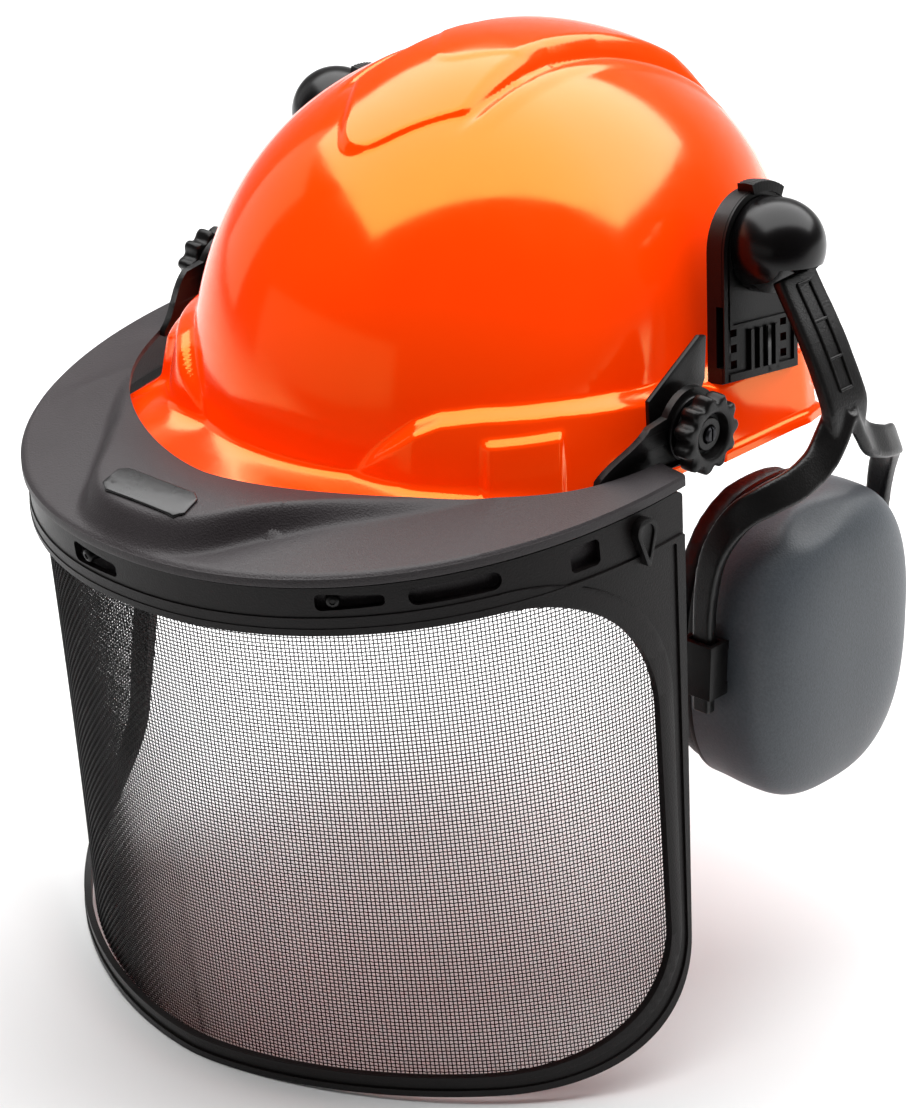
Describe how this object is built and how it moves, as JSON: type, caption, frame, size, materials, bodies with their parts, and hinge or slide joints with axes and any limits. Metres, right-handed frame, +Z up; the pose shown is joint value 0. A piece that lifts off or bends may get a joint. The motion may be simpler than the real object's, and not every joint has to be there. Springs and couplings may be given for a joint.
{
  "type": "hard hat",
  "caption": "Forestry hard hat: domed peaked shell with inner harness, brow guard with a tilting mesh face visor, and cap-mounted ear muffs on swinging forked arms.",
  "frame": {"origin": "middle of the head opening, on the plane of the shell's side rim", "axes": "+Z up through the crown, -Y the way the wearer looks, +X the wearer's left"},
  "size_m": [0.3052, 0.3642, 0.3668],
  "materials": {
    "shell_orange": "glossy moulded orange",
    "guard_charcoal": "fine grained dark grey",
    "badge": "smooth black",
    "visor_frame": "satin black",
    "visor_net": "black coated woven wire",
    "black_parts": "satin black",
    "pivot_dome": "polished black",
    "bolt_steel": "dark oxide steel",
    "cup_slate": "fine grained slate grey",
    "cushion": "soft black vinyl over foam",
    "liner_foam": "open cell foam",
    "harness_plastic": "dark grey polyethylene",
    "webbing": "black woven webbing",
    "padding": "black padded fabric"
  },
  "bodies": {
    "helmet": {"brow_pad": "padding", "crown_pad": "padding", "crown_strap_a": "webbing", "crown_strap_b": "webbing", "hanger_front_left": "harness_plastic", "hanger_front_right": "harness_plastic", "hanger_rear_left": "harness_plastic", "hanger_rear_right": "harness_plastic", "headband": "harness_plastic", "muff_adapter_left": "black_parts", "muff_adapter_right": "black_parts", "pivot_bolt_left": "bolt_steel", "pivot_bolt_right": "bolt_steel", "pivot_washer_left": "black_parts", "pivot_washer_right": "black_parts", "shell": "shell_orange", "visor_carrier_left": "black_parts", "visor_carrier_right": "black_parts"},
    "nape": {"nape_band": "harness_plastic", "nape_pad": "padding", "ratchet_housing": "harness_plastic"},
    "ratchet": {"ratchet_knob": "black_parts", "ratchet_pinion": "black_parts"},
    "visor": {"brow_guard": "guard_charcoal", "badge_plate": "badge", "visor_frame": "visor_frame", "visor_mesh": "visor_net"},
    "knob_left": {"pivot_knob_left": "black_parts"},
    "latch_left": {"visor_latch_left": "black_parts"},
    "swivel_left": {"pivot_dome_left": "pivot_dome"},
    "arm_left": {"muff_arm_left": "black_parts"},
    "yoke_left": {"yoke_block_front_left": "black_parts", "yoke_block_rear_left": "black_parts"},
    "cup_left": {"cup_shell_left": "cup_slate", "cup_backplate_left": "black_parts", "cup_cushion_left": "cushion", "cup_foam_left": "liner_foam"},
    "knob_right": {"pivot_knob_right": "black_parts"},
    "latch_right": {"visor_latch_right": "black_parts"},
    "swivel_right": {"pivot_dome_right": "pivot_dome"},
    "arm_right": {"muff_arm_right": "black_parts"},
    "yoke_right": {"yoke_block_front_right": "black_parts", "yoke_block_rear_right": "black_parts"},
    "cup_right": {"cup_shell_right": "cup_slate", "cup_backplate_right": "black_parts", "cup_cushion_right": "cushion", "cup_foam_right": "liner_foam"}
  },
  "joints": [
    {"name": "visor_tilt", "type": "hinge", "parent": "helmet", "child": "visor", "pos_m": [0, -0.0125, 0.0245], "axis": [-1, 0, 0], "range_deg": [0, 95]},
    {"name": "nape_slide", "type": "slide", "parent": "helmet", "child": "nape", "axis": [0, 1, 0], "range_m": [-0.003, 0.004]},
    {"name": "ratchet_turn", "type": "hinge", "parent": "nape", "child": "ratchet", "pos_m": [0, 0.118, -0.028], "axis": [0, -1, 0], "range_deg": [-135, 180]},
    {"name": "knob_turn_left", "type": "hinge", "parent": "helmet", "child": "knob_left", "pos_m": [0.1165, -0.0125, 0.0245], "axis": [1, 0, 0], "range_deg": [0, 360]},
    {"name": "latch_turn_left", "type": "hinge", "parent": "visor", "child": "latch_left", "pos_m": [0.12947, -0.04526, 0.00039], "axis": [0.9929, -0.0883, 0.0794], "range_deg": [0, 90]},
    {"name": "muff_swing_left", "type": "hinge", "parent": "helmet", "child": "swivel_left", "pos_m": [0.11242, 0.04618, 0.07726], "axis": [0.9887, 0, 0.15], "range_deg": [0, 60]},
    {"name": "muff_lift_left", "type": "hinge", "parent": "swivel_left", "child": "arm_left", "pos_m": [0.11401, 0.04568, 0.07348], "axis": [-0.0185, -0.9923, 0.1221], "range_deg": [-9, 12]},
    {"name": "cup_slide_left", "type": "slide", "parent": "arm_left", "child": "yoke_left", "axis": [0, 0, 1], "range_m": [-0.008, 0.012]},
    {"name": "cup_tilt_left", "type": "hinge", "parent": "yoke_left", "child": "cup_left", "pos_m": [0.121, 0.049, -0.074], "axis": [0, -1, 0], "range_deg": [-12, 12]},
    {"name": "knob_turn_right", "type": "hinge", "parent": "helmet", "child": "knob_right", "pos_m": [-0.1165, -0.0125, 0.0245], "axis": [1, 0, 0], "range_deg": [0, 360]},
    {"name": "latch_turn_right", "type": "hinge", "parent": "visor", "child": "latch_right", "pos_m": [-0.12947, -0.04526, 0.00039], "axis": [0.9929, 0.0883, -0.0794], "range_deg": [0, 90]},
    {"name": "muff_swing_right", "type": "hinge", "parent": "helmet", "child": "swivel_right", "pos_m": [-0.11242, 0.04618, 0.07726], "axis": [0.9887, 0, -0.15], "range_deg": [0, 60]},
    {"name": "muff_lift_right", "type": "hinge", "parent": "swivel_right", "child": "arm_right", "pos_m": [-0.11401, 0.04568, 0.07348], "axis": [-0.0185, 0.9923, -0.1221], "range_deg": [-9, 12]},
    {"name": "cup_slide_right", "type": "slide", "parent": "arm_right", "child": "yoke_right", "axis": [0, 0, 1], "range_m": [-0.008, 0.012]},
    {"name": "cup_tilt_right", "type": "hinge", "parent": "yoke_right", "child": "cup_right", "pos_m": [-0.121, 0.049, -0.074], "axis": [0, 1, 0], "range_deg": [-12, 12]}
  ],
  "couplings": [
    {"joint": "nape_slide", "follows": "ratchet_turn", "m_per_rad": 0.00127}
  ]
}
